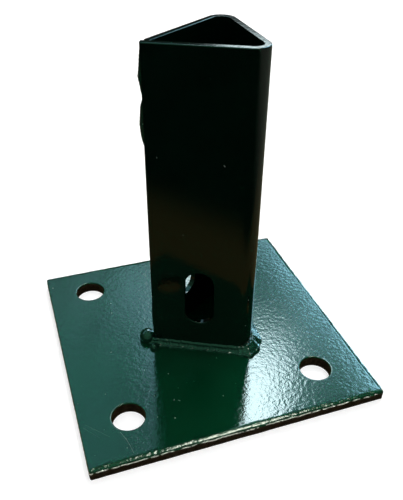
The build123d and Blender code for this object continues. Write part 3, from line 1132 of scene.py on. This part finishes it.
def length_property(name, description, default):
    return bpy.props.FloatProperty(
        name=name, description=description, default=default, unit="LENGTH", precision=5
    )


def number_property(name, description, default, **limits):
    return bpy.props.FloatProperty(name=name, description=description, default=default, **limits)


class PostBaseSteel(bpy.types.PropertyGroup):
    """Spacing of the points and the rim's rounding"""

    plate_step: length_property("Plate step", "Spacing of the plate's points", 0.6 * MM)
    sheet_step: length_property("Sheet step", "Spacing of the sleeve's points", 0.6 * MM)
    rim_round: length_property("Rim", "Rounding of the sleeve's rim under its coat", 0.35 * MM)


class PostBaseWelds(bpy.types.PropertyGroup):
    """Sizes of the welds"""

    step: length_property("Step", "Spacing of the foot weld's rings", 0.2 * MM)
    ripple: length_property("Ripple", "Height of the bead's ripples", 0.045 * MM)
    start_lump: length_property("Start lump", "Lump's middle out from the left wall", 2.4 * MM)
    drop_place: length_property("Drop", "Small drop's middle out from the front wall", 3.4 * MM)


class PostBaseCoat(bpy.types.PropertyGroup):
    """Colours and grain of the powder coat, with painted shade in the sleeve's greens and painted
    highlight in the near-white bare steel
    """

    plate_green: colour_property("Plate", "Coat of the plate", (0.0003, 0.029, 0.011))
    plate_green_light: colour_property("Plate, light", "Lighter coat", (0.0006, 0.034, 0.013))
    # The sleeve's greens are the plate's coat darkened as painted shade
    sleeve_green_painted_shade: colour_property("Sleeve", "Coat of the sleeve", (0.0001, 0.0045, 0.002))
    sleeve_green_light_painted_shade: colour_property("Sleeve, light", "Lighter coat", (0.0002, 0.006, 0.003))
    weld_green: colour_property("Weld", "Coat over the weld metal", (0.002, 0.026, 0.014))
    bare_brown: colour_property("Brown", "Torn steel and hole walls", (0.012, 0.006, 0.003))
    bare_brown_light: colour_property("Brown, light", "Scale on it", (0.03, 0.018, 0.009))
    # Near white, so the worn line on the edge is also a painted highlight
    worn_steel_and_highlight: colour_property("Bare", "Bright worn line on the edge", (0.95, 0.95, 0.86))
    speck: colour_property("Speck", "Dust and thin coat", (0.45, 0.5, 0.45))
    gloss_blur: number_property("Blur", "Roughness of the coat's gloss", 0.06, min=0, max=1)
    gloss_index: number_property("Gloss", "Refractive index of the coat", 1.5, min=1, max=3)
    peel_width: length_property("Peel width", "Size of the orange peel's cells", 1.45 * MM)
    peel_depth: length_property("Peel depth", "Height of the orange peel", 0.068 * MM)


class PostBaseStudio(bpy.types.PropertyGroup):
    """Floor, lights and camera"""

    floor_shade: number_property("Floor", "Shade of the floor", 0.42, min=0, max=1)
    floor_lift: number_property("Lift", "White added to the floor for background rays", 0.72)
    soft_light: number_property("Soft light", "Strength of the even light", 0.4, min=0)
    soft_colour: colour_property("Soft colour", "Colour of the even light", (1.0, 1.0, 1.0))
    cloth_colour: colour_property("Cloth", "Dark cloth in reflections", (0.003, 0.004, 0.003))
    cloth_colour_near: colour_property("Cloth, near", "Its brown part", (0.14, 0.11, 0.035))
    cloth_colour_right: colour_property("Cloth, right", "Its paler part", (0.2, 0.22, 0.18))
    card_distance: length_property("Card distance", "Distance of the light card", 3.0)
    room_distance: length_property("Room distance", "Distance of the mirrored room", 3.2)
    camera_place: bpy.props.FloatVectorProperty(
        name="Camera",
        description="Place of the camera",
        subtype="TRANSLATION",
        unit="LENGTH",
        default=(-0.066187, -0.194018, 0.193612),
    )
    camera_aim: bpy.props.FloatVectorProperty(
        name="Aim",
        description="Point that the camera looks at",
        subtype="TRANSLATION",
        unit="LENGTH",
        default=(0.023759, 0.064693, 0.0),
    )
    camera_roll: number_property("Roll", "Turn about the view", -0.00961, unit="ROTATION")
    camera_lens: number_property("Lens", "Focal length in millimetres", 44.21, min=1)


class POSTBASE_OT_plate(bpy.types.Operator):
    """Builds the sheared and punched plate"""

    bl_idname = "postbase.plate"
    bl_label = "Plate"

    def execute(self, context):
        points, faces, bare = plate_surface(context.scene.post_base_steel)
        material = plate_material(context.scene.post_base_coat)
        piece = ("sheared_plate", points, faces, material, "base_plate", "green_coat_plate")
        add_piece(*piece, bare)
        return {"FINISHED"}


class POSTBASE_OT_sleeve(bpy.types.Operator):
    """Builds the folded sleeve"""

    bl_idname = "postbase.sleeve"
    bl_label = "Sleeve"

    def execute(self, context):
        points, faces = sleeve_surface(context.scene.post_base_steel)
        material = sleeve_material(context.scene.post_base_coat)
        add_piece("folded_sleeve", points, faces, material, "post_sleeve", "green_coat_sleeve")
        return {"FINISHED"}


class POSTBASE_OT_foot_weld(bpy.types.Operator):
    """Builds the fillet weld round the sleeve's foot"""

    bl_idname = "postbase.foot_weld"
    bl_label = "Foot weld"

    def execute(self, context):
        grid = foot_weld_surface(context.scene.post_base_welds)
        material = weld_material(context.scene.post_base_coat)
        add_rings("foot_weld_bead", grid, False, material, "foot_weld", "green_coat_weld")
        return {"FINISHED"}


class POSTBASE_OT_seam_welds(bpy.types.Operator):
    """Builds the stitch beads that close the seam"""

    bl_idname = "postbase.seam_welds"
    bl_label = "Seam welds"

    def execute(self, context):
        material = weld_material(context.scene.post_base_coat)
        for name, (stations, turns) in SEAM_BEADS.items():
            grid = seam_bead_surface(stations, turns)
            piece = f"seam_bead_{name}"
            add_rings(piece, grid, True, material, f"seam_weld_{name}", "green_coat_weld")
        return {"FINISHED"}


class POSTBASE_OT_studio(bpy.types.Operator):
    """Sets up the floor, the lights and the camera"""

    bl_idname = "postbase.studio"
    bl_label = "Studio"

    def execute(self, context):
        studio = context.scene.post_base_studio
        stage_square("floor", *FLOOR_SQUARE, floor_material(studio))
        world_light(studio)
        room(studio)
        dark_cloth(studio)
        photo_camera(studio)
        context.scene.view_settings.view_transform = "Standard"
        return {"FINISHED"}


class POSTBASE_PT_panel(bpy.types.Panel):
    """Lists the post base's operators and settings"""

    bl_idname = "POSTBASE_PT_panel"
    bl_label = "Post base"
    bl_space_type = "VIEW_3D"
    bl_region_type = "UI"
    bl_category = "Post base"

    def draw(self, context):
        for operator in OPERATORS:
            self.layout.operator(operator.bl_idname)
        for group in GROUPS:
            settings = getattr(context.scene, group)
            for name in settings.bl_rna.properties.keys():
                if name not in ("rna_type", "name"):
                    self.layout.prop(settings, name)


OPERATORS = (
    POSTBASE_OT_plate,
    POSTBASE_OT_sleeve,
    POSTBASE_OT_foot_weld,
    POSTBASE_OT_seam_welds,
    POSTBASE_OT_studio,
)
GROUPS = {
    "post_base_steel": PostBaseSteel,
    "post_base_welds": PostBaseWelds,
    "post_base_coat": PostBaseCoat,
    "post_base_studio": PostBaseStudio,
}
CLASSES = (*GROUPS.values(), *OPERATORS, POSTBASE_PT_panel)


def register():
    for cls in CLASSES:
        bpy.utils.register_class(cls)
    for name, group in GROUPS.items():
        setattr(bpy.types.Scene, name, bpy.props.PointerProperty(type=group))


def unregister():
    for name in GROUPS:
        delattr(bpy.types.Scene, name)
    for cls in reversed(CLASSES):
        bpy.utils.unregister_class(cls)


def main():
    """Builds everything in order."""
    register()
    bpy.ops.postbase.plate()
    bpy.ops.postbase.sleeve()
    bpy.ops.postbase.foot_weld()
    bpy.ops.postbase.seam_welds()
    bpy.ops.postbase.studio()


if __name__ == "__main__":
    main()
